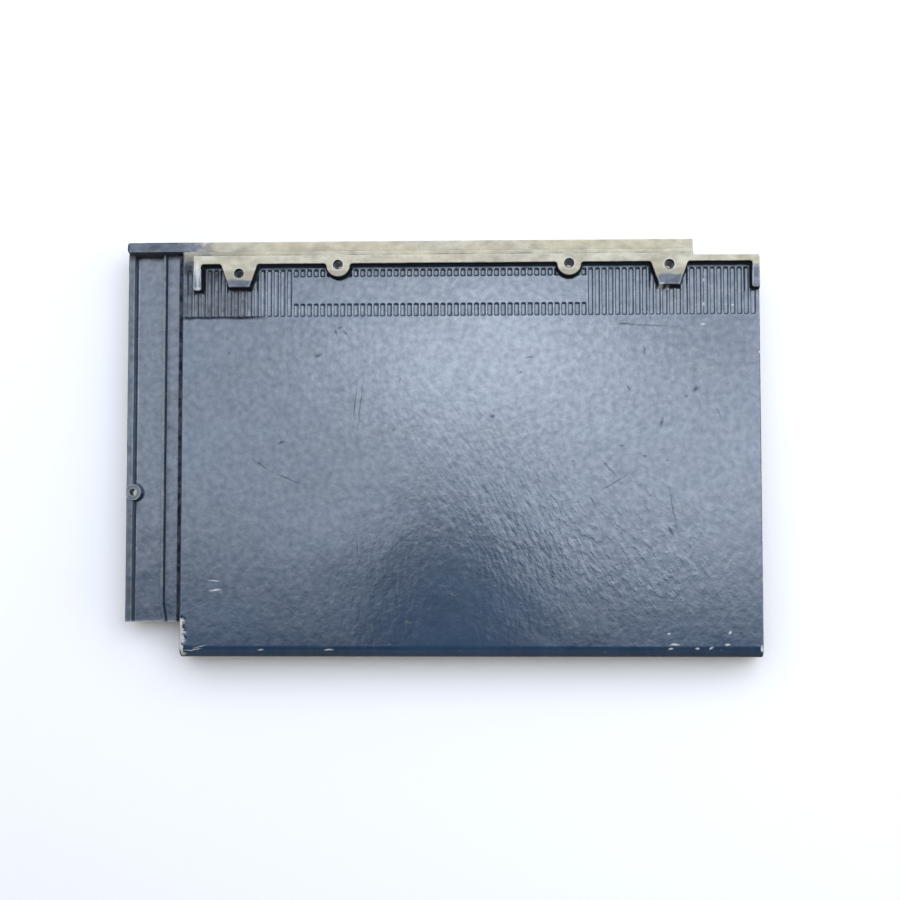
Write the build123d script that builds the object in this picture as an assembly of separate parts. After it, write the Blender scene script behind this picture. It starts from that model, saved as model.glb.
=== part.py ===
from build123d import *
import os
from math import radians, tan

# A flat interlocking clay roof tile, pressed in one mould and fired as one piece. All sizes are in millimetres.
# While the tile is built, X runs across it from the left edge of the body, Y runs from the tail to the head,
# and Z runs up from the floor that it lies on. The last lines move it to the centre of its own box.

# Body, the part of the tile that shows on the roof
body_width = 452.0
tile_length = 326.0
slab_thickness = 12.0
left_wall_width = 5.0
draft_angle = 8.0
arris_radius = 1.2
head_corner_radius = 2.5

# Head: a low bar right across the end, and a tall rib in front of it that stops the wind-driven rain
head_bar_width = 8.0
head_bar_drop = 2.0
head_bar_radius = 1.5
head_rib_height = 12.0
head_rib_top_width = 6.4
head_rib_setback = 13.6
head_rib_top_radius = 0.8
head_rib_corner_radius = 2.4
right_rib_top_width = 4.7
left_leg_x = 13.5
right_leg_inset = 3.7
leg_top_width = 5.4
leg_reach = 20.0
leg_end_height = 9.0

# Fixing holes in the head, each through a boss of its own, all set out from the head end
hole_centre_offset = 12.0
round_boss_spacing = 180.0
round_boss_setback = 21.2
round_boss_top_radius = 9.1
wide_boss_inset = 46.5
wide_boss_reach = 18.3
wide_boss_root_width = 28.4
wide_boss_end_width = 16.0
left_wide_hole_setback = 27.6
right_wide_hole_setback = 22.6
nail_hole_radius = 2.4
head_recess_radius = 3.9
head_recess_depth = 5.0

# Grooved band below the rib, with a plain panel between two rows of short slots
groove_pitch = 5.25
groove_width = 3.7
groove_end_chamfer = 1.1
groove_depth = 1.2
groove_margin = 2.2
band_setback = 23.4
band_length = 36.6
panel_slots = 44
panel_centre_offset = 23.2
lower_slot_length = 9.5
upper_slot_length = 5.3

# Underlap: the channel along the left side, which lies under the next tile
underlap_width = 45.0
underlap_tail_gap = 26.8
underlap_floor = 7.0
channel_depth = 7.5
channel_foot_radius = 1.5
outer_rib_top_width = 5.2
outer_rib_radius = 1.0
ledge_width = 13.6
ledge_drop = 2.0
nib_top_width = 1.8
nib_rise = 2.5
nib_lean = 1.5
nib_turn = 2.3
nib_turn_length = 15.0
side_boss_radius = 7.5
side_boss_height = 8.5
side_boss_y = 128.6
side_boss_inset = 5.4
side_hole_radius = 2.8

# Overlap: the thin plate along the right side, which covers the next tile's underlap
overlap_thickness = 8.0
joint_gap = 3.0
side_lap_clearance = 1.5
rebate_clearance = 5.0
hook_rib_width = 6.0
edge_lip_clearance = 2.0
notch_clearance = 9.0
notch_gap = 3.0

# Underside: the lip at the tail, the weather bar, the batten seat, two nibs and three stiffening ribs
lap_clearance = 1.0
tail_lip_width = 14.0
nose_radius = 8.0
nose_undercut = 2.0
weather_bar_y = 74.0
weather_bar_width = 8.0
weather_bar_depth = 9.0
batten_seat_width = 28.0
batten_seat_depth = 3.0
batten_stop_setback = 36.0
nib_hole_clearance = 16.75
batten_nib_thickness = 14.0
batten_nib_taper = 4.0
stiffener_width = 8.0
stiffener_depth = 7.0

# How far forms run into each other where they join and cuts run past the surface, and when two places are one
overrun = 1.0
tolerance = 0.01

# Levels that follow from the way the tiles stack: the head rib of the tile below passes under the underlap
underlap_z = head_rib_height + lap_clearance
floor_z = underlap_z + underlap_floor
outer_rib_z = floor_z + channel_depth
plate_z = outer_rib_z + side_lap_clearance
face_z = plate_z + overlap_thickness
slab_z = face_z - slab_thickness
ledge_z = outer_rib_z - ledge_drop
nib_z = ledge_z + nib_rise
bar_z = face_z - head_bar_drop
rib_z = face_z + head_rib_height
draft = tan(radians(draft_angle))

# Places set out from the head end
bar_y = tile_length - head_bar_width
bar_foot_y = bar_y - (bar_z - floor_z) * draft
face_end_y = bar_y - head_bar_drop * draft
rib_y = tile_length - head_rib_setback
rib_front_y = rib_y - head_rib_top_width
leg_y = rib_front_y - leg_reach
plate_end_y = bar_foot_y - notch_gap
round_boss_y = tile_length - round_boss_setback
left_wide_hole_y = tile_length - left_wide_hole_setback
right_wide_hole_y = tile_length - right_wide_hole_setback
band_top_y = tile_length - band_setback
band_bottom_y = band_top_y - band_length
batten_stop_y = tile_length - batten_stop_setback

# Places across the tile, and those that follow from the next tile's underlap
hole_centre_x = body_width / 2 - hole_centre_offset
wide_boss_spacing = 2 * (hole_centre_x - wide_boss_inset)
nib_offset = (round_boss_spacing + wide_boss_spacing) / 4
batten_nib_width = (wide_boss_spacing - round_boss_spacing) / 2 - 2 * nib_hole_clearance
right_leg_x = body_width - right_leg_inset
next_body_x = body_width + joint_gap
rebate_x = next_body_x - underlap_width - rebate_clearance
notch_x = next_body_x - underlap_width - notch_clearance
nib_left_x = -ledge_width - nib_lean - nib_top_width
side_boss_x = -underlap_width + side_boss_inset
hook_x = next_body_x + (side_boss_x + side_boss_radius + nib_left_x) / 2


def flat_face(points, rounds):
    """A flat face inside its corner points, with the numbered corners rounded to their radius."""
    face = make_face(Polyline(points, close=True))
    for number, radius in rounds.items():
        corner = face.vertices().sort_by_distance(points[number])[0]
        face = fillet(corner, radius)
    return face


def across(outline, start_x, end_x, rounds={}):
    """Extrude an outline of (y, z) points across the tile, from one x to another."""
    face = flat_face([(start_x, y, z) for y, z in outline], rounds)
    return extrude(face, amount=end_x - start_x, dir=(1, 0, 0))


def along(outline, start_y, end_y, rounds={}):
    """Extrude an outline of (x, z) points along the tile, from one y to another."""
    face = flat_face([(x, start_y, z) for x, z in outline], rounds)
    return extrude(face, amount=end_y - start_y, dir=(0, 1, 0))


def block(low, high):
    """A plain block between two corners."""
    size = [b - a for a, b in zip(low, high)]
    return Pos(*low) * Box(*size, align=Align.MIN)


def flat(low_x, low_y, high_x, high_y):
    """A plain rectangle between two corners."""
    return Pos(low_x, low_y) * Rectangle(high_x - low_x, high_y - low_y, align=Align.MIN)


def make_body():
    """The slab with its tail lip, and the thin plate with its hook rib and edge lip on the right."""
    hook_left, hook_right = hook_x - hook_rib_width / 2, hook_x + hook_rib_width / 2
    hook_z = floor_z + side_lap_clearance
    hook_slope = (plate_z - hook_z) * draft
    lip_x = next_body_x - ledge_width + edge_lip_clearance
    lip_z = ledge_z + side_lap_clearance / 2
    wall_foot_x = left_wall_width + (slab_z - underlap_z) * draft
    section = [(0, underlap_z), (0, face_z), (body_width, face_z), (body_width, lip_z), (lip_x, lip_z)]
    section += [(lip_x, plate_z), (hook_right + hook_slope, plate_z), (hook_right, hook_z)]
    section += [(hook_left, hook_z), (hook_left - hook_slope, plate_z), (rebate_x, plate_z)]
    section += [(rebate_x - (plate_z - slab_z) * draft, slab_z), (wall_foot_x, slab_z)]
    section += [(left_wall_width, underlap_z)]
    slab = along(section, tail_lip_width - overrun, face_end_y, {1: arris_radius, 2: arris_radius})
    lip_foot_y = tail_lip_width - slab_z * draft
    nose = [(nose_undercut, 0), (0, face_z / 2), (0, face_z), (tail_lip_width, face_z)]
    lip = across(nose + [(tail_lip_width, slab_z), (lip_foot_y, 0)], 0, body_width, {2: nose_radius})
    lip_top = [edge for edge in lip.edges() if edge.center().Z > face_z - nose_radius]
    lip_sides = [edge for edge in lip_top if abs(edge.center().X - body_width / 2) > body_width / 2 - overrun]
    lip = fillet(lip_sides, arris_radius)
    head_corner = slab.edges().filter_by(Axis.Z).sort_by_distance((0, face_end_y, face_z))[0]
    slab = fillet(head_corner, head_corner_radius)
    return slab + lip - block((notch_x, plate_end_y, 0), (body_width, tile_length, face_z))


def make_underlap():
    """The channel on the left: outer rib, drained floor, low nib that turns in at the tail, and ledge."""
    outer_x = -underlap_width
    rib_x = outer_x + outer_rib_top_width
    rib_foot_x = rib_x + channel_depth * draft
    nib_foot_x = nib_left_x - (nib_z - floor_z) * draft
    turn_y = underlap_tail_gap + nib_turn_length
    base = [(outer_x, underlap_z), (outer_x, outer_rib_z), (rib_x, outer_rib_z), (rib_foot_x, floor_z)]
    base += [(overrun, floor_z), (overrun, underlap_z)]
    rounds = {1: outer_rib_radius, 2: outer_rib_radius, 3: channel_foot_radius}
    channel = along(base, underlap_tail_gap, bar_y, rounds)
    step = [(nib_foot_x, floor_z), (nib_left_x, nib_z), (nib_left_x + nib_top_width, nib_z)]
    step += [(-ledge_width, ledge_z), (overrun, ledge_z), (overrun, floor_z)]
    channel += along(step, turn_y, bar_y)
    end = [(x + nib_turn, z) if x < 0 else (x, z) for x, z in step]
    turned = [make_face(Polyline([(x, y, z) for x, z in outline], close=True))
              for y, outline in ((underlap_tail_gap, end), (turn_y, step))]
    channel += loft(turned, ruled=True)
    cone = Cone(side_boss_radius, side_boss_radius - side_boss_height * draft, side_boss_height,
                align=(Align.CENTER, Align.CENTER, Align.MIN))
    boss = Pos(side_boss_x, side_boss_y, floor_z) * cone
    return channel + (boss & block((outer_x, 0, floor_z), (0, tile_length, face_z)))


def make_head_bar():
    """The low bar across the head, which closes the end of the channel."""
    closed = [(bar_foot_y - overrun, underlap_z), (bar_foot_y - overrun, floor_z), (bar_foot_y, floor_z)]
    closed += [(bar_y, bar_z), (tile_length, bar_z), (tile_length, underlap_z)]
    plain = [(rib_y, slab_z), (rib_y, bar_z), (tile_length, bar_z), (tile_length, slab_z)]
    bar = across(closed, -underlap_width, left_wall_width, {3: head_bar_radius / 2, 4: head_bar_radius})
    corner = bar.edges().filter_by(Axis.Z).sort_by_distance((-underlap_width, tile_length, underlap_z))[0]
    return fillet(corner, head_corner_radius) + across(plain, left_wall_width, notch_x, {2: head_bar_radius})


def make_head_forms():
    """The tall rib with its four bosses and two sloping legs, raised on the face with sloping sides."""
    leg_half = leg_top_width / 2
    rib_end_x = notch_x - head_rib_height * draft
    right_x = right_leg_x + leg_half
    top = flat(left_leg_x - leg_half, rib_front_y, rib_end_x, rib_y)
    top += flat(rib_end_x - overrun, rib_front_y, right_x, rib_front_y + right_rib_top_width)
    for x in (left_leg_x, right_leg_x):
        top += flat(x - leg_half, leg_y, x + leg_half, rib_front_y + overrun)
    root, end = wide_boss_root_width / 2, wide_boss_end_width / 2
    back_y, end_y = rib_front_y + overrun, rib_front_y - wide_boss_reach
    for side in (-1, 1):
        top += Pos(hole_centre_x + side * round_boss_spacing / 2, round_boss_y) * Circle(round_boss_top_radius)
        x = hole_centre_x + side * wide_boss_spacing / 2
        outline = [(x - root, rib_front_y), (x - root, back_y), (x + root, back_y), (x + root, rib_front_y)]
        outline += [(x + end, end_y), (x - end, end_y)]
        top += make_face(Polyline(outline, close=True))
    inner_corners = [corner for corner in top.vertices() if abs(corner.Y - rib_front_y) < tolerance]
    inner_corners += [corner for corner in top.vertices()
                      if abs(corner.Y - rib_y) < tolerance and left_leg_x < corner.X < rib_end_x - overrun]
    top = fillet(inner_corners, head_rib_corner_radius)
    outer_corners = [corner for corner in top.vertices()
                     if corner.Y < end_y + tolerance or not left_leg_x < corner.X < right_leg_x]
    top = fillet(outer_corners, arris_radius)
    forms = extrude(Pos(0, 0, rib_z) * top, amount=head_rib_height, dir=(0, 0, -1), taper=-draft_angle)
    forms = fillet(forms.faces().sort_by(Axis.Z)[-1].edges(), head_rib_top_radius)
    slope_y = leg_y - leg_top_width
    slope = [(slope_y, face_z + leg_end_height), (rib_front_y, rib_z), (slope_y, rib_z)]
    for x in (left_leg_x, right_leg_x):
        forms -= across(slope, x - leg_top_width, x + leg_top_width)
    return forms & block((0, 0, face_z), (body_width, tile_length, rib_z))


def make_grooves():
    """Long grooves at both sides of the panel, and rows of short slots above and below it, all with sloping walls."""
    panel_width = panel_slots * groove_pitch
    panel_left = body_width / 2 - panel_centre_offset - panel_width / 2
    left_grooves = int((panel_left - groove_margin) / groove_pitch)
    right_grooves = int((body_width - groove_margin - panel_left - panel_width) / groove_pitch)
    slope, chamfer = groove_depth * draft, groove_end_chamfer
    half = groove_width / 2 - slope
    grooves = []
    for number in range(-left_grooves, panel_slots + right_grooves):
        x = panel_left + (number + 0.5) * groove_pitch
        lengths = [(band_bottom_y, band_top_y)]
        if 0 <= number < panel_slots:
            lengths = [(band_bottom_y, band_bottom_y + lower_slot_length)]
            lengths += [(band_top_y - upper_slot_length, band_top_y)]
        for start_y, end_y in lengths:
            low_y, high_y = start_y + slope, end_y - slope
            outline = [(x - half, low_y + chamfer), (x - half + chamfer, low_y), (x + half - chamfer, low_y)]
            outline += [(x + half, low_y + chamfer), (x + half, high_y - chamfer), (x + half - chamfer, high_y)]
            outline += [(x - half + chamfer, high_y), (x - half, high_y - chamfer)]
            face = Pos(0, 0, face_z - groove_depth) * make_face(Polyline(outline, close=True))
            grooves.append(extrude(face, amount=groove_depth + overrun, dir=(0, 0, 1), taper=-draft_angle))
    return grooves


def make_underside():
    """Weather bar, batten seat, nibs and stiffening ribs below the slab."""
    left_x, right_x = left_wall_width, rebate_x - left_wall_width
    bar_slope, bar_low_z = weather_bar_depth * draft, slab_z - weather_bar_depth
    bar_end_y = weather_bar_y + weather_bar_width
    bar = [(weather_bar_y, slab_z), (weather_bar_y + bar_slope, bar_low_z), (bar_end_y - bar_slope, bar_low_z)]
    parts = across(bar + [(bar_end_y, slab_z)], left_x, right_x)
    seat_y, seat_z = batten_stop_y - batten_seat_width, slab_z - batten_seat_depth
    parts += block((left_x, seat_y, seat_z), (right_x, batten_stop_y, slab_z))
    nib_end_y = batten_stop_y + batten_nib_thickness
    nib = [(batten_stop_y, slab_z), (batten_stop_y, 0), (nib_end_y - batten_nib_taper, 0), (nib_end_y, slab_z)]
    for x in (hole_centre_x - nib_offset, hole_centre_x + nib_offset):
        parts += across(nib, x - batten_nib_width / 2, x + batten_nib_width / 2)
    half, slope = stiffener_width / 2, stiffener_depth * draft
    for x in (hole_centre_x - nib_offset, hole_centre_x, hole_centre_x + nib_offset):
        rib = [(x - half, slab_z), (x - half + slope, slab_z - stiffener_depth)]
        rib += [(x + half - slope, slab_z - stiffener_depth), (x + half, slab_z)]
        parts += along(rib, weather_bar_y, batten_stop_y - overrun)
    return parts


def upright_hole(x, y, low_z, high_z, radius):
    """A round hole between two levels, which runs on past the upper one."""
    hole = Cylinder(radius, high_z + overrun - low_z, align=(Align.CENTER, Align.CENTER, Align.MIN))
    return Pos(x, y, low_z) * hole


tile = make_body() + make_underlap() + make_head_bar() + make_underside()
tile -= make_grooves()
tile += make_head_forms()

half_round = round_boss_spacing / 2
half_wide = wide_boss_spacing / 2
head_holes = [(hole_centre_x - half_wide, left_wide_hole_y), (hole_centre_x - half_round, round_boss_y)]
head_holes += [(hole_centre_x + half_round, round_boss_y), (hole_centre_x + half_wide, right_wide_hole_y)]
for x, y in head_holes:
    tile -= upright_hole(x, y, 0, rib_z, nail_hole_radius)
    tile -= upright_hole(x, y, rib_z - head_recess_depth, rib_z, head_recess_radius)
tile -= upright_hole(side_boss_x, side_boss_y, 0, floor_z + side_boss_height, side_hole_radius)

tile = Pos((underlap_width - body_width) / 2, -tile_length / 2, 0) * tile
tile = tile.solid()
tile.label = "roof_tile"
print("volume in cubic centimetres", round(tile.volume / 1000, 1), "valid", tile.is_valid)
print("box", tile.bounding_box())

os.makedirs("parts", exist_ok=True)
export_step(tile, "parts/roof_tile.step")
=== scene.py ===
import bpy
import bmesh
import numpy as np
from math import cos, hypot, pi, radians, sin
from mathutils import Matrix, Vector


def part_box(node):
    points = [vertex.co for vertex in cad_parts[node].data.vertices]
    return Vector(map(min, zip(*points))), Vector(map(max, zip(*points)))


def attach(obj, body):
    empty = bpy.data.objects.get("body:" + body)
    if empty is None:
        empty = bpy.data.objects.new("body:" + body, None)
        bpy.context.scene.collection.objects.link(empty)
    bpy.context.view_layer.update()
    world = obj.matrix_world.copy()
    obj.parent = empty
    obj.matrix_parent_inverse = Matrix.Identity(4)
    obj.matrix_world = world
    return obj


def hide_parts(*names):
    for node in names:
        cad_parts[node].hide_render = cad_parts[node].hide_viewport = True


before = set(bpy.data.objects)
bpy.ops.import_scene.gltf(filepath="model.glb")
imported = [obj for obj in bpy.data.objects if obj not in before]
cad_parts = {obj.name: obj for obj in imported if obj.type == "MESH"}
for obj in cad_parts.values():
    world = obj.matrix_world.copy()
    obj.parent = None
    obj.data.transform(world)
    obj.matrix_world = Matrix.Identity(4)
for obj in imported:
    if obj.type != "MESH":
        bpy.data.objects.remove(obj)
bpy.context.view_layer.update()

# The glazed roof tile is one piece of clay, pressed in a mould, glazed and fired. Its face comes first: the
# plain field, the grooved band and the soft arrises round them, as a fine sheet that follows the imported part.
# Lengths here are in millimetres from the body's left edge, from the tail and from the floor.
MM = 0.001
low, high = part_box("roof_tile")
underlap_width = 45.0
body_width = (high.x - low.x) / MM - underlap_width
tile_length = (high.y - low.y) / MM
face_z = 37.0
arris = 1.2
nose_radius = 8.0
head_end = tile_length - 8.11
notch_x = 401.0
notch_end = 312.9
seam_y = 262.0
pitch = 5.25
groove_half = 1.85
groove_depth = 1.15
band_low = 266.0
band_high = 302.6
slot_low_end = 275.5
slot_high_start = 297.3
panel_left = 87.3
panel_right = 318.3
first_groove = 3.3
last_groove = 449.55
groove_corner = 1.2
groove_wall = (-0.35, 0.65)


def smooth(value, start, end):
    """0 before start, 1 after end, and a soft S between them."""
    share = np.clip((value - start) / (end - start), 0.0, 1.0)
    return share * share * (3.0 - 2.0 * share)


def waves(x, y, size, seed):
    """A soft random relief between -1 and 1, with bumps of about one size."""
    lattice = np.random.default_rng(seed).uniform(-1.0, 1.0, (64, 64))
    u, v = x / size + 400.0, y / size + 400.0
    i, j = np.floor(u).astype(int), np.floor(v).astype(int)
    a, b = u - i, v - j
    a, b = a * a * (3.0 - 2.0 * a), b * b * (3.0 - 2.0 * b)
    near = lattice[i % 64, j % 64] * (1 - a) + lattice[(i + 1) % 64, j % 64] * a
    far = lattice[i % 64, (j + 1) % 64] * (1 - a) + lattice[(i + 1) % 64, (j + 1) % 64] * a
    return near * (1 - b) + far * b


def field_relief(x, y):
    """How far the glazed face stands above or below its true plane."""
    relief = 0.10 * waves(x, y, 42.0, 1) + 0.045 * waves(x, y, 19.0, 2) + 0.010 * waves(x, y * 0.8, 8.5, 3)
    inside = smooth(x, 0.5, 9.0) * smooth(body_width - x, 0.5, 9.0) * smooth(y, 0.0, 10.0)
    return relief * inside * smooth(band_low - y, -4.0, 14.0)


def groove(x, y):
    """How deep the grooved band is at a place."""
    in_band = (x > first_groove) & (x < last_groove)
    across = np.abs((x - first_groove) % pitch - pitch / 2)
    over_panel = (x > panel_left) & (x < panel_right)
    middle = (band_low + band_high) / 2
    long_end = np.abs(y - middle) - (band_high - band_low) / 2
    low_end = np.abs(y - (band_low + slot_low_end) / 2) - (slot_low_end - band_low) / 2
    high_end = np.abs(y - (band_high + slot_high_start) / 2) - (band_high - slot_high_start) / 2
    past_end = np.where(over_panel, np.minimum(low_end, high_end), long_end)
    side = across - groove_half
    corner = np.maximum(side + groove_corner, 0.0) ** 2 + np.maximum(past_end + groove_corner, 0.0) ** 2
    in_corner = (side > -groove_corner) & (past_end > -groove_corner)
    outside = np.where(in_corner, np.sqrt(corner) - groove_corner, np.maximum(side, past_end))
    return np.where(in_band, groove_depth * smooth(-outside, *groove_wall), 0.0)


def arris_steps(count):
    """Places round a quarter circle: how far in from the side, and how far below the face."""
    angles = np.linspace(0.0, pi / 2, count)
    return arris * (1 - np.cos(angles)), arris * (1 - np.sin(angles))


side_in, side_drop = arris_steps(6)
ridges = np.arange(first_groove, last_groove + 0.1, pitch)
groove_middles = ridges[:-1] + pitch / 2
groove_offsets = np.array([-2.2, -1.85, -1.5, -1.0, 1.0, 1.5, 1.85, 2.2])
fine_middles = (groove_middles[:, None] + groove_offsets[None, :]).ravel()
notch_sides = np.array([notch_x - 0.01, notch_x + 0.01])
left_fine = np.array([1.8, 2.5])
right_fine = np.array([body_width - 1.7])
chip_columns = np.array([4.2, 5.1, 6.9, 7.8])
plain_columns = np.concatenate([left_fine, chip_columns, ridges, groove_middles, right_fine])
band_columns = np.concatenate([plain_columns, fine_middles, notch_sides])


def columns_of(plain):
    """Every column of a sheet from the left side to the right: its x and how far it lies below the face."""
    plain = np.sort(plain)
    plain = plain[np.concatenate([[True], np.diff(plain) > 0.012])]
    x = np.concatenate([side_in, plain, body_width - side_in[::-1]])
    drop = np.concatenate([side_drop, np.zeros(len(plain)), side_drop[::-1]])
    return x, drop


# Chips: x, y, radius and depth of each place where the glaze and a little clay have broken away
chips = [(-1.2, y, 4.1 + 0.6 * sin(2.3 * y), 0.5) for y in np.arange(2.0, 28.0, 1.8)]
chips += [(-0.5, 1.0, 4.6, 1.6), (452.0, 5.5, 2.2, 0.7)]
chips += [(0.1, 214.0, 1.4, 0.4), (451.9, 148.0, 1.4, 0.4), (451.9, 236.0, 1.2, 0.4), (451.9, 61.0, 1.2, 0.4)]
chip_squash = 0.8
chip_raggedness = 0.35
chip_foot = (28.0, 30.0)


def chip_field(x, y):
    """How far inside the nearest chip a place is, from 0 outside to 1 in its middle, and how deep it goes."""
    inside, depth = np.zeros(x.shape), np.zeros(x.shape)
    for number, (chip_x, chip_y, radius, deep) in enumerate(chips):
        ragged = radius * (1.0 + chip_raggedness * waves(x, y, 1.6, 40 + number))
        share = np.clip(1.0 - np.hypot((x - chip_x) * chip_squash, y - chip_y) / ragged, 0.0, 1.0)
        inside = np.maximum(inside, share)
        depth = np.maximum(depth, deep * smooth(share, 0.0, 0.45))
    return inside, depth


verts, quads, skin_marks = [], [], []


def add_sheet(x, drop, rows, relief):
    """Add a sheet of quads. Each row gives y, z, the normal's y and z, and its place on the head arris."""
    first = len(verts)
    for y, z, ny, nz, end_in in rows:
        limit = np.where(x > notch_x, notch_end, head_end)
        row_y = np.minimum(np.full(x.shape, y), limit - arris)
        if end_in is not None:
            row_y = limit - end_in
        inside, deep = chip_field(x, row_y)
        rise = relief(x, row_y) - drop - deep * smooth(z, *chip_foot)
        for k in range(len(x)):
            verts.append((x[k], row_y[k] + ny * rise[k], z + nz * rise[k]))
            skin_marks.append(inside[k])
    width = len(x)
    for r in range(len(rows) - 1):
        for k in range(width - 1):
            a = first + r * width + k
            quads.append((a, a + 1, a + 1 + width, a + width))


row_step = 0.9
close_end = 36.0
open_row_count = 97
nose_rows = [(nose_radius * (1 - cos(t)), face_z - nose_radius * (1 - sin(t)), -cos(t), sin(t), None)
             for t in np.linspace(0.0, pi / 2, 11)]
close_rows = [(y, face_z, 0.0, 1.0, None) for y in np.arange(nose_radius + row_step, close_end, row_step)]
open_ys = np.linspace(close_end + row_step, seam_y, open_row_count)
open_rows = [(y, face_z, 0.0, 1.0, None) for y in open_ys]
x, drop = columns_of(plain_columns)
add_sheet(x, drop, nose_rows + close_rows + open_rows, field_relief)
seam_x = x
seam_relief = field_relief(x, np.full(x.shape, seam_y))


def band_relief(x, y):
    """The relief of the grooved band, which starts from the straight runs of the plain field's last row."""
    start = np.interp(x, seam_x, seam_relief)
    blend = smooth(y, seam_y, seam_y + 3.5)
    step = 0.6 * np.exp(-((y - band_low + 0.4) / 0.5) ** 2)
    step = step * smooth(x, 1.0, 3.0) * (1 - smooth(x, 48.0, 74.0))
    return start * (1 - blend) + field_relief(x, y) * blend - np.maximum(groove(x, y), step)


ends = [band_low, slot_low_end, slot_high_start, band_high]
near_ends = [end + step for end in ends for step in (-1.4, -0.9, -0.4, 0.0, 0.5, 1.0, 1.6)]
between = list(np.arange(268.5, 274.5, 1.9)) + list(np.arange(278.4, 296.2, 2.4))
near_rib = [299.4, 300.6, 305.5, 308.5, 311.5, notch_end - arris, head_end - arris - 1.0]
band_ys = np.sort(np.array([seam_y, 263.4] + near_ends + between + near_rib))
band_rows = [(y, face_z, 0.0, 1.0, None) for y in band_ys]
end_in, end_drop = arris_steps(5)
band_rows += [(head_end, face_z - d, 0.0, 1.0, i) for i, d in zip(end_in[::-1], end_drop[::-1])]
x, drop = columns_of(band_columns)
add_sheet(x, drop, band_rows, band_relief)

# The nail holes pass through the sheet under their bosses
hole_places = [(46.5, 298.4), (124.0, 304.8), (304.0, 304.8), (381.5, 303.4)]
hole_opening = 5.5
bore_reach = 3.2
recess_reach = 4.6
verts = np.array(verts)
quads = np.array(quads)
centres = verts[quads].mean(axis=1)
under_boss = np.zeros(len(quads), bool)
for hole_x, hole_y in hole_places:
    under_boss |= np.hypot(centres[:, 0] - hole_x, centres[:, 1] - hole_y) < hole_opening
quads = quads[~under_boss]

# The rest of the tile is the underlap with its channel, the head bar, the rib with its bosses, and the
# underside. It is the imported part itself, without the face that the sheet above stands for. It is cut into
# small cells, so that its long arrises can run a little crooked, as pressed and fired clay does.
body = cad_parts["roof_tile"]
bm = bmesh.new()
bm.from_mesh(body.data)
offset = Vector((low.x + underlap_width * MM, low.y, 0.0))
for vert in bm.verts:
    vert.co = (vert.co - offset) / MM
bmesh.ops.remove_doubles(bm, verts=bm.verts, dist=0.002)
bmesh.ops.dissolve_limit(bm, angle_limit=radians(0.3), verts=bm.verts, edges=bm.edges)
level_gap = 0.02


def slice_faces(axis, places, chosen):
    """Cut the chosen faces along planes square to one axis."""
    for place in places:
        origin, normal = Vector((0, 0, 0)), Vector((0, 0, 0))
        origin[axis], normal[axis] = place, 1.0
        cut = []
        for f in filter(chosen, bm.faces):
            along = [v.co[axis] for v in f.verts]
            if min(along) < place - level_gap and max(along) > place + level_gap:
                cut.append(f)
        edges = list(dict.fromkeys(e for f in cut for e in f.edges))
        corners = list(dict.fromkeys(v for f in cut for v in f.verts))
        bmesh.ops.bisect_plane(bm, geom=cut + edges + corners, plane_co=origin, plane_no=normal, dist=0.002)


def middle(f):
    """The centre of a face."""
    return f.calc_center_median()


side_z = face_z - arris
slice_faces(2, [side_z], lambda f: True)
slice_faces(2, [face_z - nose_radius], lambda f: middle(f).y < nose_radius)


def under_sheet(f):
    """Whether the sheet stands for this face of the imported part."""
    heights = [v.co.z for v in f.verts]
    centre = middle(f)
    if any(hypot(centre.x - hx, centre.y - hy) < bore_reach for hx, hy in hole_places):
        return False
    if abs(centre.x - notch_x) < 0.05 and abs(f.normal.x) > 0.9:
        return False
    on_face = min(heights) > side_z - level_gap and max(heights) < face_z + level_gap
    on_nose = centre.y < nose_radius + level_gap and min(heights) > face_z - nose_radius - level_gap
    return (on_face or on_nose and f.normal.z > 0.02) and not (abs(f.normal.x) > 0.999)


def raised(f):
    """Whether a face belongs to the rib or a boss."""
    return middle(f).z > face_z + 0.01


def lap(f):
    """Whether a face belongs to the top of the underlap."""
    return middle(f).x < 0.2 and middle(f).z > 12.9


def below(f):
    """Whether a face looks down to the floor."""
    return middle(f).z < 26.0 and f.normal.z < -0.5


bmesh.ops.delete(bm, geom=[f for f in bm.faces if under_sheet(f)], context="FACES")
slice_faces(0, np.arange(10.0, 452.0, 2.6), raised)
slice_faces(1, np.arange(284.0, 315.0, 2.6), raised)
slice_faces(2, [41.0, 44.0, 46.8], raised)
slice_faces(1, np.arange(28.0, 318.0, 4.0), lap)
slice_faces(0, np.arange(-43.0, -1.0, 3.0), lap)
slice_faces(0, np.arange(-43.0, 401.0, 4.0), lambda f: middle(f).y > 317.0 and middle(f).z > 20.0)
slice_faces(0, np.arange(12.0, 450.0, 16.0), below)
slice_faces(1, np.arange(6.0, 325.0, 16.0), below)
slice_faces(0, np.arange(8.0, 450.0, 8.0), lambda f: middle(f).y < 2.5)
bm.normal_update()
bm.verts.ensure_lookup_table()
rest_verts = np.array([v.co[:] for v in bm.verts])
rest_normals = np.array([v.normal[:] for v in bm.verts])
rest_faces = [[v.index for v in f.verts] for f in bm.faces]
bm.free()

# Wobble of the arrises and walls, none at the places where the rest meets the sheet or another tile is seated
rx, ry, rz = rest_verts.T
wobble = 0.09 * (waves(rx + rz, ry, 11.0, 5) - 1.0) + 0.04 * (waves(rx, ry + rz, 4.0, 6) - 1.0)
free = smooth(rz, face_z + 0.3, face_z + 2.0) + smooth(-rx, 0.6, 3.0) + smooth(ry, 318.5, 320.0)
free *= smooth(rz, 13.5, 16.0)
rest_verts = rest_verts + rest_normals * (np.clip(free, 0.0, 1.0) * wobble)[:, None]

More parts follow.
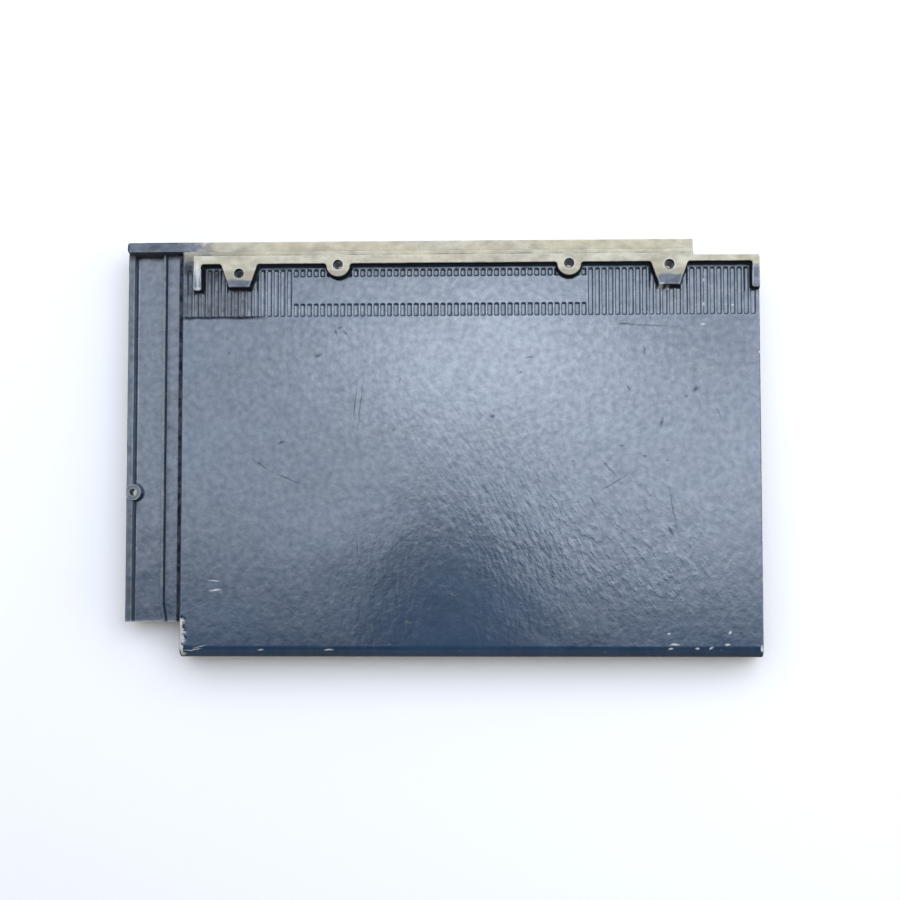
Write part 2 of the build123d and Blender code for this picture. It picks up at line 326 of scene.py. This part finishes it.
# One mesh of both, back in the frame's metres, with the marks that its finish reads
all_verts = np.concatenate([verts, rest_verts])
all_faces = [list(map(int, q)) for q in quads] + [[i + len(verts) for i in f] for f in rest_faces]
tile_mesh = bpy.data.meshes.new("glazed_roof_tile")
tile_mesh.from_pydata((all_verts * MM + np.array(offset)).tolist(), [], all_faces)
tile = bpy.data.objects.new("glazed_roof_tile", tile_mesh)
bpy.context.scene.collection.objects.link(tile)

rib_edge = (46.8, 48.0)
left_leg_end = 18.0
right_leg_start = 443.0
ax, ay, az = all_verts.T
off_face = np.abs(az - face_z)
raised_part = smooth(az, face_z + 0.6, face_z + 2.0)
near_face = az > 35.0
on_leg = ((ax < left_leg_end) | (ax > right_leg_start)) * (ay < 303.0)
near_hole = np.min([np.hypot(ax - hx, ay - hy) for hx, hy in hole_places], axis=0) < recess_reach


def stretch(value, start, full, hold, end):
    """0 before start, 1 from full to hold, and 0 again after end."""
    return smooth(value, start, full) * (1 - smooth(value, hold, end))


# Bare clay: the head down to a wavering line on the rib and bosses, the corner by the left leg, and all below
glaze_line = 292.6 + 3.0 * smooth(ax, 330.0, 360.0) + 9.0 * on_leg + 1.3 * waves(ax, ay, 7.0, 11)
soft_line = 1.6 + 2.4 * on_leg
head_bare = smooth(az, *rib_edge) * smooth(ay, glaze_line - soft_line, glaze_line + soft_line)
rib_back = raised_part * smooth(ay, 311.4, 311.8) * smooth(ax, 14.0, 30.0)
bar_bare = smooth(ay, 313.6, 314.6) * smooth(ax + 3.0 * waves(ax, ay, 5.0, 12), -12.0, 40.0)
corner_bare = 0.72 * smooth(ay, 307.0, 311.0) * stretch(ax, 0.5, 2.0, 12.0, 13.0) * (az > 36.0)
bare_below = (az < 24.5) * smooth(ax, 1.5, 3.0) * (ax < 450.0) * smooth(ay, 6.0, 8.0)
marks = {"bare": np.maximum.reduce([head_bare, rib_back, bar_bare, corner_bare, bare_below])}
marks["chip"] = np.concatenate([np.array(skin_marks), np.zeros(len(rest_verts))])

# Dirt: in the head corners, against the head bar, on the underlap, in the left grooves and in the nail holes
band_dirt = smooth(ay, 262.0, 268.0) * (1 - smooth(ax, 40.0, 75.0)) * (az < face_z + 0.3) * near_face
corner_dirt = smooth(ay, 312.2, 313.4) * stretch(ax, -33.5, -32.5, -14.0, -12.5)
corner_dirt = corner_dirt * (1 - smooth(az, 21.0, 22.0))
head_corner = stretch(ax, -0.5, 2.5, 7.0, 10.0) * stretch(ay, 296.0, 300.0, 312.0, 315.0) * near_face
bar_wall = stretch(ay, 315.5, 316.0, 317.9, 318.3) * (ax < 0.0)
bar_start = (ay > 317.0) * (1 - smooth(ax, -2.0, 22.0))
over_lap = np.maximum(smooth(-ax, 1.0, 3.0), bar_start) * (az > 20.0)
lap_dirt = over_lap * (0.38 - 0.26 * smooth(ax, -13.0, -11.5))
hole_dirt = near_hole * (az > 43.0) * (az < 44.6)
top_dust = smooth(az, 47.0, 48.0) * (ay < 300.0)
marks["dirt"] = np.maximum.reduce([0.7 * hole_dirt, 0.5 * band_dirt, 0.55 * corner_dirt, 0.8 * head_corner,
                                   0.75 * bar_wall, lap_dirt, 0.45 * top_dust, 0.42 * over_lap * (az > 33.0)])

# Painted shade: the glaze darkened at the foot of the rib and of the left grooves, on the rib's walls and at
# the right leg's end
foot_shade = stretch(ay, 301.6, 303.2, 305.0, 306.0) * smooth(ax, 15.0, 17.0) * (off_face < 0.5)
band_foot = stretch(ay, 262.6, 264.4, 265.6, 266.8) * (1 - smooth(ax, 50.0, 78.0)) * (off_face < 1.0)
wall_top = 1 - smooth(az, rib_edge[0] - 1.4 * on_leg, rib_edge[1] - 1.8 * on_leg)
raised_wall = smooth(az, face_z + 0.3, face_z + 0.6) * wall_top * (1 - near_hole) * (ay < 311.5)
rib_foot = (1 - smooth(az, 40.0, 46.0)) * (ay > 303.0) * (ay < 307.0)
leg_shade = 0.5 * raised_part * (ax > 440.0) * (1 - smooth(ay, 286.0, 289.5))
wall_shade = raised_wall * (0.95 - 0.45 * rib_foot)
marks["shade"] = np.maximum.reduce([0.45 * foot_shade, 0.7 * band_foot, wall_shade, leg_shade])

# Hollows that light still reaches: the nail holes, and the grooves more and more towards the right
in_band = stretch(ay, 262.0, 266.0, 303.0, 305.0) * (off_face < 1.3)
band_light = 0.15 + 0.45 * smooth(ax, 180.0, 330.0) + 0.15 * smooth(ay, 294.0, 298.0)
marks["open"] = np.maximum(0.85 * near_hole, in_band * band_light)

# Rubbed arrises, partly real wear and partly a painted edge highlight: a little everywhere, more on the head,
# the grooves, the underlap and the tail's left end
edge_left = (1 - smooth(np.abs(ax), 1.0, 3.4)) * smooth(az, 33.0, 35.0)
left_wear = 0.4 + edge_left * (0.15 + 0.45 * (1 - smooth(ay, 34.0, 42.0)))
head_wear = 0.9 * raised_part * smooth(az, 46.0, 48.0)
corner_wear = 0.85 * (1 - smooth(ax, 9.0, 12.0)) * smooth(ay, 296.0, 302.0) * near_face * (az < 38.0)
lap_wear = over_lap * (0.58 - 0.30 * smooth(ax, -20.0, -18.0))
marks["wear"] = np.maximum.reduce([left_wear, head_wear, corner_wear, lap_wear, 0.62 * in_band])
for name, values in marks.items():
    layer = tile_mesh.attributes.new(name, "FLOAT", "POINT")
    layer.data.foreach_set("value", values.astype(np.float32))

tile_mesh.validate()
tile_mesh.shade_smooth()
tile_mesh.set_sharp_from_angle(angle=radians(38))
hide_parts("roof_tile")
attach(tile, "root")

# Its finish is a dark blue satin glaze over buff clay, bare where the head was wiped and where it is chipped.
# The glaze has an orange-peel skin with fine strokes down the slope, cloudy tints, scratches and specks.


def empty_material(name):
    """A new material without nodes."""
    made = bpy.data.materials.new(name)
    made.use_nodes = True
    made.node_tree.nodes.clear()
    return made


finish = empty_material("blue_glaze_on_buff_clay")
tree = finish.node_tree


def node(kind, name, **settings):
    """A named shader node with its settings and the values of its inputs."""
    made = tree.nodes.new(kind)
    made.name = made.label = name
    for key, value in settings.items():
        if hasattr(made, key):
            setattr(made, key, value)
        else:
            made.inputs[key.replace("_", " ")].default_value = value
    return made


def link(source, output, target, socket):
    """Join an output of one node to an input of another."""
    tree.links.new(source.outputs[output], target.inputs[socket])


def rise(name, value, start, end):
    """A mask that rises from 0 where a value is at start to 1 where it is at end."""
    made = node("ShaderNodeMapRange", name, From_Min=start, From_Max=end)
    tree.links.new(value, made.inputs["Value"])
    return made.outputs[0]


place = node("ShaderNodeTexCoord", "place on the tile")


def spots(name, scale, stretched, start, end, detail=3.0):
    """A mask of soft random spots, stretched along X and Y, that rises from 0 at start to 1 at end."""
    mapping = node("ShaderNodeMapping", name + " stretch", Scale=(stretched[0], stretched[1], 1.0))
    noise = node("ShaderNodeTexNoise", name + " noise", Scale=scale, Detail=detail, Roughness=0.55)
    link(place, "Object", mapping, "Vector")
    link(mapping, "Vector", noise, "Vector")
    return rise(name, noise.outputs["Fac"], start, end)


def mix(name, fac, first, second):
    """Blend two colours, each a node's output or plain numbers, by a mask."""
    made = node("ShaderNodeMix", name, data_type="RGBA")
    for source, socket in ((fac, 0), (first, 6), (second, 7)):
        if isinstance(source, bpy.types.NodeSocket):
            tree.links.new(source, made.inputs[socket])
        else:
            made.inputs[socket].default_value = source
    return made.outputs[2]


def combine(name, operation, first, second):
    """A sum, product or other joining of two masks, kept between 0 and 1."""
    made = node("ShaderNodeMath", name, operation=operation, use_clamp=True)
    for number, source in enumerate((first, second)):
        if isinstance(source, bpy.types.NodeSocket):
            tree.links.new(source, made.inputs[number])
        else:
            made.inputs[number].default_value = source
    return made.outputs[0]


def part_of(name, mask, share):
    """A mask at part of its strength."""
    return combine(name, "MULTIPLY", mask, share)


def mark(name, ragged, start, end):
    """One of the mesh's marks, with its edge roughened by a random mask."""
    source = node("ShaderNodeAttribute", name + " mark", attribute_name=name)
    return rise(name + " edge", combine(name + " ragged", "ADD", source.outputs["Fac"], ragged), start, end)


clouds = spots("glaze clouds", 14.0, (1.0, 1.6), 0.38, 0.66, 5.0)
tints = spots("glaze tints", 31.0, (1.0, 0.7), 0.42, 0.70)
strokes = spots("drawn strokes", 60.0, (3.0, 0.7), 0.42, 0.78)
fine_strokes = spots("fine strokes", 120.0, (1.5, 1.0), 0.30, 0.72, 3.0)
specks = spots("dark specks", 260.0, (1.0, 1.0), 0.765, 0.80, 1.0)
mottle = spots("mottled gloss", 210.0, (1.0, 1.0), 0.30, 0.72, 5.0)
scratches = spots("scratches", 75.0, (0.35, 7.0), 0.70, 0.76, 2.0)
clay_spots = spots("clay spots", 90.0, (1.0, 1.6), 0.35, 0.70, 6.0)
clay_streaks = spots("clay streaks", 26.0, (0.5, 3.0), 0.45, 0.70)
grit = spots("grit", 700.0, (1.0, 1.0), 0.30, 0.70, 3.0)

# The glaze, from its cloudy body to the dark specks and fine scratches in it
deep_blue = (0.009, 0.026, 0.056, 1)
slate_blue = (0.018, 0.043, 0.082, 1)
sea_blue = (0.012, 0.040, 0.070, 1)
stroke_blue = (0.046, 0.070, 0.110, 1)
speck_black = (0.008, 0.010, 0.016, 1)
scratch_grey = (0.30, 0.33, 0.38, 1)
glaze = mix("glaze clouds tint", clouds, deep_blue, slate_blue)
glaze = mix("glaze second tint", part_of("tint share", tints, 0.5), glaze, sea_blue)
glaze = mix("stroke tint", part_of("stroke share", strokes, 0.22), glaze, stroke_blue)
glaze = mix("speck tint", part_of("speck share", specks, 0.8), glaze, speck_black)
glaze = mix("scratch tint", part_of("scratch share", scratches, 0.07), glaze, scratch_grey)

# Knocks and scuffs on the face are short strokes with wavering edges
bend = node("ShaderNodeTexNoise", "bend of the strokes", Scale=150.0, Detail=3.0)
link(place, "Object", bend, "Vector")
bent = node("ShaderNodeVectorMath", "bent a little", operation="MULTIPLY_ADD")
link(bend, "Color", bent, 0)
bent.inputs[1].default_value = (0.003, 0.003, 0.0)
link(place, "Object", bent, 2)
centred = node("ShaderNodeVectorMath", "bent both ways", operation="SUBTRACT")
link(bent, "Vector", centred, 0)
centred.inputs[1].default_value = (0.0015, 0.0015, 0.0)
wavering = centred.outputs["Vector"]


def stroke_marks(name, strokes):
    """A mask of soft strokes: x, y, turn in degrees, half the length and half the width, in the tile's mm."""
    total = 0.0
    for number, (x, y, turn, half_length, half_width) in enumerate(strokes):
        mapping = node("ShaderNodeMapping", f"{name} {number}", vector_type="TEXTURE")
        mapping.inputs["Location"].default_value = (x * MM + offset.x, y * MM + offset.y, face_z * MM)
        mapping.inputs["Rotation"].default_value = (0.0, 0.0, radians(turn))
        mapping.inputs["Scale"].default_value = (half_length * MM, half_width * MM, 1.0)
        fade = node("ShaderNodeTexGradient", f"{name} fade {number}", gradient_type="SPHERICAL")
        tree.links.new(wavering, mapping.inputs["Vector"])
        link(mapping, "Vector", fade, "Vector")
        total = combine(f"{name} total {number}", "MAXIMUM", fade.outputs["Fac"], total)
    return total


dark_strokes = [(121.2, 253.1, -60, 2.6, 1.2), (125.0, 257.0, 30, 3.2, 1.2), (129.2, 252.4, -35, 3.6, 1.1),
                (107.4, 234.8, 20, 4.2, 1.6), (37.0, 236.7, 0, 1.4, 1.3), (171.9, 215.9, 90, 2.2, 0.9),
                (244.5, 186.5, -20, 2.5, 1.9), (167.0, 176.8, 0, 1.7, 1.3), (79.5, 166.5, 15, 4.0, 1.4),
                (272.4, 232.7, 4, 5.5, 0.8), (266.5, 221.0, 30, 2.4, 1.0), (306.5, 151.7, 0, 1.8, 1.5),
                (344.3, 163.6, 0, 4.0, 0.8), (362.2, 155.1, 0, 1.7, 1.2), (379.5, 152.1, 0, 1.7, 1.2),
                (401.5, 207.4, 70, 3.4, 2.3), (395.0, 201.6, 45, 2.3, 1.6), (375.4, 181.3, 80, 4.6, 1.8),
                (349.5, 208.6, -60, 3.4, 1.0), (362.3, 238.4, 90, 4.6, 0.8), (419.5, 188.4, -70, 6.0, 0.7),
                (381.9, 96.9, -65, 7.0, 1.6), (384.0, 112.0, -80, 22.0, 0.7), (65.0, 148.0, -32, 13.0, 0.8),
                (84.0, 138.4, -22, 15.0, 0.8), (137.0, 199.0, -96, 28.0, 0.7), (140.6, 194.0, -96, 26.0, 0.6),
                (337.4, 134.0, 31, 18.0, 0.8), (334.5, 145.7, -49, 10.5, 1.2), (361.5, 257.5, -2, 26.0, 0.8),
                (347.0, 258.6, 0, 8.0, 1.1), (138.5, 85.0, -85, 11.0, 0.7)]
light_strokes = [(28.2, 51.7, 4, 6.5, 1.1), (26.7, 58.9, 0, 5.5, 0.6), (383.8, 9.5, 0, 4.4, 1.2),
                 (380.5, 6.2, 10, 2.2, 0.8), (401.3, 6.7, 0, 2.0, 1.0), (412.2, 7.3, 25, 2.0, 0.9),
                 (424.3, 9.8, 0, 3.0, 0.9), (379.5, 18.2, 0, 1.5, 1.1), (426.0, 19.1, 60, 2.0, 1.4),
                 (450.5, 7.0, 90, 3.4, 1.4), (64.0, 5.7, 0, 3.0, 0.7), (116.5, 5.4, 0, 4.6, 0.8),
                 (10.0, 5.6, 8, 9.0, 0.42), (16.0, 8.0, 10, 7.0, 0.36), (374.6, 287.0, 30, 3.4, 2.0),
                 (380.5, 286.2, 0, 2.6, 1.0), (408.1, 258.1, 0, 2.6, 1.0), (13.7, 299.0, 90, 13.0, 2.6),
                 (13.7, 287.4, 0, 2.8, 2.0), (13.7, 291.0, 90, 5.0, 0.9), (409.0, 274.0, 90, 2.0, 1.2),
                 (431.0, 273.0, 0, 1.4, 1.0), (409.0, 292.5, 90, 1.6, 1.0)]
dark_mark = rise("dark strokes", stroke_marks("dark stroke", dark_strokes), 0.0, 0.80)
light_mark = rise("light strokes", stroke_marks("light stroke", light_strokes), 0.0, 0.75)

# The underside is bare and has no strokes
geometry = node("ShaderNodeNewGeometry", "facing")
faces_up = node("ShaderNodeSeparateXYZ", "facing parts")
link(geometry, "True Normal", faces_up, "Vector")
underside = rise("underside", faces_up.outputs["Z"], -0.05, -0.25)
on_top = combine("on the top", "SUBTRACT", 1.0, underside)
dark_share = part_of("dark stroke on the top", part_of("dark stroke share", dark_mark, 0.5), on_top)
light_share = part_of("light stroke on the top", part_of("light stroke share", light_mark, 0.7), on_top)

# A dark line of painted shadow runs along the foot of the face's left wall
axes = node("ShaderNodeSeparateXYZ", "tile axes")
link(place, "Object", axes, "Vector")


def past(name, axis, start, end):
    """A mask that rises from 0 to 1 between two places along one of the tile's axes, in the tile's mm."""
    shift = offset["XYZ".index(axis)]
    return rise(name, axes.outputs[axis], start * MM + shift, end * MM + shift)


wall_foot_shadow = past("left of the wall", "X", -5.2, -4.2)
wall_foot_shadow = part_of("wall foot", wall_foot_shadow, past("right of the wall", "X", 0.6, 0.0))
wall_foot_shadow = part_of("wall foot low", wall_foot_shadow, past("under the face", "Z", 32.0, 30.0))
wall_foot_shadow = part_of("wall foot on the top", part_of("wall foot share", wall_foot_shadow, 0.78), on_top)

# The clay under the glaze, gritty and streaked
weathered_clay = (0.37, 0.34, 0.25, 1)
pale_clay = (0.65, 0.61, 0.49, 1)
buff_clay = (0.60, 0.52, 0.34, 1)
grit_brown = (0.33, 0.30, 0.25, 1)
broken_dark = (0.36, 0.36, 0.35, 1)
broken_pale = (0.62, 0.62, 0.60, 1)
clay = mix("clay", clay_spots, weathered_clay, pale_clay)
clay = mix("clay streaked", part_of("streak share", clay_streaks, 0.6), clay, buff_clay)
clay = mix("clay gritty", part_of("grit share", grit, 0.30), clay, grit_brown)
broken = mix("broken clay", clay_spots, broken_dark, broken_pale)

# Where each of them shows: the mesh's marks with ragged edges, and the hollows and arrises found on the mesh,
# whose darkness in the hollows is painted shade
bare_mask = mark("bare", part_of("ragged edge", clay_spots, 0.5), 0.45, 1.05)
chip_mask = mark("chip", part_of("chip ragged edge", grit, 0.5), 0.51, 0.62)
dirt_mask = mark("dirt", part_of("dirt ragged edge", clay_spots, 0.3), 0.25, 1.15)
# Painted shade in the hollows, from ambient occlusion, lessened where the open mark lets light in
inner = node("ShaderNodeAmbientOcclusion", "hollows", samples=8, only_local=True, Distance=0.005)
hollow = rise("deep in a hollow", inner.outputs["AO"], 0.66, 0.42)
open_mark = node("ShaderNodeAttribute", "opener hollows mark", attribute_name="open")
shut_share = combine("not in open hollows", "SUBTRACT", 1.0, open_mark.outputs["Fac"])
hollow_shade_share = part_of("hollow share", hollow, shut_share)
# The arrises are found by ambient occlusion from inside, and lightened there as wear and as a painted edge
# highlight
outer = node("ShaderNodeAmbientOcclusion", "arrises", samples=8, only_local=True, inside=True,
             Distance=0.0022)
arris_edge = rise("on an arris", outer.outputs["AO"], 0.80, 0.45)
rubbed = mark("wear", part_of("wear ragged edge", clay_spots, 0.45), 0.45, 1.0)
wear_and_edge_highlight = part_of("rubbed arris", rubbed, arris_edge)
open_clay = combine("bare or below", "MAXIMUM", bare_mask, underside)
open_clay = combine("bare or chipped", "MAXIMUM", open_clay, chip_mask)
# Painted shade: the shade mark, the hollows and the wall shadow, with the dark strokes, darken the colour
# together
deep = mark("shade", part_of("shade ragged edge", clay_spots, 0.25), 0.35, 1.0)
deep = combine("deep or hollow", "MAXIMUM", deep, part_of("soft hollow share", hollow_shade_share, 0.85))
deep = combine("deep or marked", "MAXIMUM", deep, dark_share)
deep = combine("deep or at the wall", "MAXIMUM", deep, wall_foot_shadow)
shade_and_mark_share = part_of("deep share", deep, 0.93)

worn_and_highlight_grey = (0.66, 0.66, 0.62, 1)
dirt_brown = (0.085, 0.080, 0.075, 1)
shade_and_mark_black = (0.010, 0.010, 0.012, 1)
scuff_white = (0.68, 0.68, 0.64, 1)
colour = mix("glaze or clay", open_clay, glaze, clay)
colour = mix("chipped", chip_mask, colour, broken)
# Worn grey on the rubbed arrises, which also serves as a painted edge highlight
colour = mix("worn", part_of("wear share", wear_and_edge_highlight, 0.85), colour, worn_and_highlight_grey)
colour = mix("dirty", part_of("dirt share", dirt_mask, 0.8), colour, dirt_brown)
# Painted shade and the dark stroke marks, as a near-black colour
colour = mix("dark in the hollows", shade_and_mark_share, colour, shade_and_mark_black)
colour = mix("light marks", light_share, colour, scuff_white)
dull = combine("dull share", "MAXIMUM", open_clay, dirt_mask)
dull = combine("dull or deep", "MAXIMUM", dull, shade_and_mark_share)
dull = combine("dull or marked", "MAXIMUM", dull, light_share)

# The skin of the glaze: orange peel, fine strokes, and to the lower right a lumpy patch brushed aslant
peel = node("ShaderNodeBump", "orange peel", Strength=0.06, Distance=0.0005)
ripple = node("ShaderNodeBump", "stroke relief", Strength=0.17, Distance=0.0006)
grain = node("ShaderNodeBump", "grain", Strength=0.30, Distance=0.0004)
brush_turn = radians(-62)


def brushed_noise(name, direction_name, length, scale, detail):
    """A fine noise drawn out along the way that the patch was brushed."""
    direction = node("ShaderNodeMapping", direction_name, vector_type="TEXTURE")
    direction.inputs["Rotation"].default_value = (0.0, 0.0, brush_turn)
    direction.inputs["Scale"].default_value = (length, 1.0, 1.0)
    noise = node("ShaderNodeTexNoise", name, Scale=scale, Detail=detail)
    link(place, "Object", direction, "Vector")
    link(direction, "Vector", noise, "Vector")
    return noise.outputs["Fac"]


brushed_patch = stroke_marks("brushed patch", [(270.0, 118.0, -35, 150.0, 75.0)])
brush_zone = rise("brushed zone", brushed_patch, 0.0, 0.45)
brush = brushed_noise("brushed ripple", "brushed direction", 3.0, 330.0, 2.0)
brush = part_of("brushed where it shows", brush, brush_zone)
brush = part_of("brushed height", brush, 0.9)
lumpy_patch = stroke_marks("lumpy patch", [(350.0, 95.0, -25, 100.0, 70.0)])
lump_zone = rise("lumpy zone", lumpy_patch, 0.0, 0.40)
lumps = brushed_noise("brushed lumps", "lump direction", 1.6, 210.0, 2.5)
lump_tops = part_of("lumps where they show", combine("tops of the lumps", "SUBTRACT", lumps, 0.5), lump_zone)
brush = combine("brushed and lumpy", "ADD", brush, part_of("lump height", lump_tops, 2.8))
strokes_height = combine("stroke height", "ADD", part_of("stroke half height", fine_strokes, 0.33), brush)
tree.links.new(spots("peel", 210.0, (1.0, 1.0), 0.25, 0.75, 2.0), peel.inputs["Height"])
tree.links.new(strokes_height, ripple.inputs["Height"])
tree.links.new(grit, grain.inputs["Height"])
link(peel, "Normal", ripple, "Normal")
link(ripple, "Normal", grain, "Normal")

shader = node("ShaderNodeBsdfPrincipled", "glazed clay surface")
shader.inputs["IOR"].default_value = 1.5
shader.inputs["Specular IOR Level"].default_value = 0.05
shader.inputs["Coat Roughness"].default_value = 0.13
shader.inputs["Coat IOR"].default_value = 2.05
tree.links.new(colour, shader.inputs["Base Color"])
rough = node("ShaderNodeMapRange", "roughness", To_Min=0.34, To_Max=0.88)
tree.links.new(dull, rough.inputs["Value"])
tree.links.new(rough.outputs[0], shader.inputs["Roughness"])
coat = combine("coat weight", "SUBTRACT", 1.0, dull)
coat = combine("mottled coat", "SUBTRACT", coat, part_of("mottle share", mottle, 0.40))
coat = combine("lumpy coat", "ADD", coat, part_of("lump gloss", lump_tops, 0.8))
tree.links.new(coat, shader.inputs["Coat Weight"])
link(grain, "Normal", shader, "Normal")
link(ripple, "Normal", shader, "Coat Normal")
output = node("ShaderNodeOutputMaterial", "finish")
link(shader, "BSDF", output, "Surface")
tile_mesh.materials.append(finish)

# The studio is a plain pale floor that the tile lies on, and a broad soft panel overhead. The panel is
# brighter beyond the head of the tile, as an overcast sky is, and darker round the camera. A small panel
# stands to the right.
half_floor = 4.0
panel_height = 1.9


def stage_plane(name, corners):
    """A flat sheet of the studio between four corners, seen from the side where they run anticlockwise."""
    mesh = bpy.data.meshes.new(name)
    mesh.from_pydata(corners, [], [(0, 1, 2, 3)])
    made = bpy.data.objects.new(name, mesh)
    bpy.context.scene.collection.objects.link(made)
    return made


floor = stage_plane("floor", [(-half_floor, -half_floor, 0), (half_floor, -half_floor, 0),
                              (half_floor, half_floor, 0), (-half_floor, half_floor, 0)])
floor.visible_glossy = False
paint = bpy.data.materials.new("pale_floor")
paint.use_nodes = True
paint_shader = paint.node_tree.nodes["Principled BSDF"]
paint_shader.inputs["Base Color"].default_value = (0.86, 0.86, 0.86, 1)
paint_shader.inputs["Roughness"].default_value = 0.9
floor.data.materials.append(paint)

panel = stage_plane("soft_panel", [(-1.9, -1.6, panel_height), (-1.9, 2.2, panel_height),
                                   (1.9, 2.2, panel_height), (1.9, -1.6, panel_height)])
panel.visible_camera = False
panel.visible_shadow = False
glow = empty_material("soft_panel_light")
tree = glow.node_tree
place = node("ShaderNodeTexCoord", "place on the panel")


def pool(name, centre, size, start, end, outside, inside):
    """A soft oval of another light level on the panel, full within start and gone outside end."""
    mapping = node("ShaderNodeMapping", name + " place", Scale=(1 / size[0], 1 / size[1], 0.0))
    mapping.inputs["Location"].default_value = (-centre[0] / size[0], -centre[1] / size[1], 0.0)
    length = node("ShaderNodeVectorMath", name + " distance", operation="LENGTH")
    made = node("ShaderNodeMapRange", name, interpolation_type="SMOOTHSTEP", From_Min=end, From_Max=start,
                To_Min=outside, To_Max=inside)
    link(place, "Object", mapping, "Vector")
    link(mapping, "Vector", length, 0)
    link(length, "Value", made, "Value")
    return made.outputs[0]


def slope_of(name, axis, start, end, low_level, high_level):
    """A light level that rises along one axis of the panel from one value to another."""
    made = node("ShaderNodeMapRange", name, interpolation_type="SMOOTHSTEP", From_Min=start, From_Max=end,
                To_Min=low_level, To_Max=high_level)
    link(parts, axis, made, "Value")
    return made.outputs[0]


def level(name, operation, first, second):
    """Join two light levels."""
    made = node("ShaderNodeMath", name, operation=operation)
    tree.links.new(first, made.inputs[0])
    tree.links.new(second, made.inputs[1])
    return made.outputs[0]


parts = node("ShaderNodeSeparateXYZ", "panel axes")
link(place, "Object", parts, "Vector")
bright = pool("bright pool", (0.005, 0.31), (0.26, 0.12), 0.20, 1.85, 0.0, 2.2)
round_camera = pool("camera shade", (-0.065, -0.20), (0.15, 0.22), 0.55, 1.45, 1.0, 0.12)
past_corner = pool("dimmer beyond the head", (0.40, 0.45), (0.24, 0.20), 0.3, 1.5, 1.0, 0.70)
to_right = slope_of("brighter to the right", "X", -0.60, 0.40, 2.4, 3.7)
to_tail = slope_of("darker to the tail", "Y", -0.35, 0.08, 0.01, 1.0)
sky = level("sky", "ADD", to_right, bright)
sky = level("sky above the tail", "MULTIPLY", sky, to_tail)
sky = level("sky and camera", "MULTIPLY", sky, round_camera)
sky = level("sky and corner", "MULTIPLY", sky, past_corner)
overcast_blue = (0.805, 0.875, 1.01, 1)
emission = node("ShaderNodeEmission", "panel light", Color=overcast_blue)
tree.links.new(sky, emission.inputs["Strength"])
output = node("ShaderNodeOutputMaterial", "panel")
link(emission, "Emission", output, "Surface")
panel.data.materials.append(glow)

side = stage_plane("side_panel", [(2.2, -1.2, 0.15), (1.9, -1.2, 1.5), (1.9, 1.6, 1.5), (2.2, 1.6, 0.15)])
side.visible_camera = False
side_glow = empty_material("side_panel_light")
tree = side_glow.node_tree
emission = node("ShaderNodeEmission", "side light", Strength=2.2)
output = node("ShaderNodeOutputMaterial", "side panel")
link(emission, "Emission", output, "Surface")
side.data.materials.append(side_glow)

# Light comes from all round as well, a little warm, and weaker in reflections
world = bpy.data.worlds.new("studio")
world.use_nodes = True
background = world.node_tree.nodes["Background"]
background.inputs["Color"].default_value = (1.0, 0.97, 0.93, 1)
tree = world.node_tree
path = node("ShaderNodeLightPath", "kind of ray")
room = node("ShaderNodeMapRange", "darker in reflections", To_Min=0.70, To_Max=0.15)
link(path, "Is Glossy Ray", room, "Value")
link(room, 0, background, "Strength")
bpy.context.scene.world = world

# The camera looks down on the tile at the photograph's angle, from nearly over its right half
camera_place = (0.0642, -0.0987, 1.4342)
tilt, yaw, roll = -0.0687, -0.0405, 0.0033
camera_data = bpy.data.cameras.new("camera")
camera_data.sensor_width = 36.0
camera_data.lens = 72.0
camera_data.clip_start = 0.05
camera = bpy.data.objects.new("camera", camera_data)
bpy.context.scene.collection.objects.link(camera)
turn = Matrix.Rotation(roll, 3, "Z") @ Matrix.Rotation(yaw, 3, "Y") @ Matrix.Rotation(tilt, 3, "X")
camera.matrix_world = Matrix.Translation(camera_place) @ turn.transposed().to_4x4()
bpy.context.scene.camera = camera
bpy.context.scene.view_settings.view_transform = "Standard"
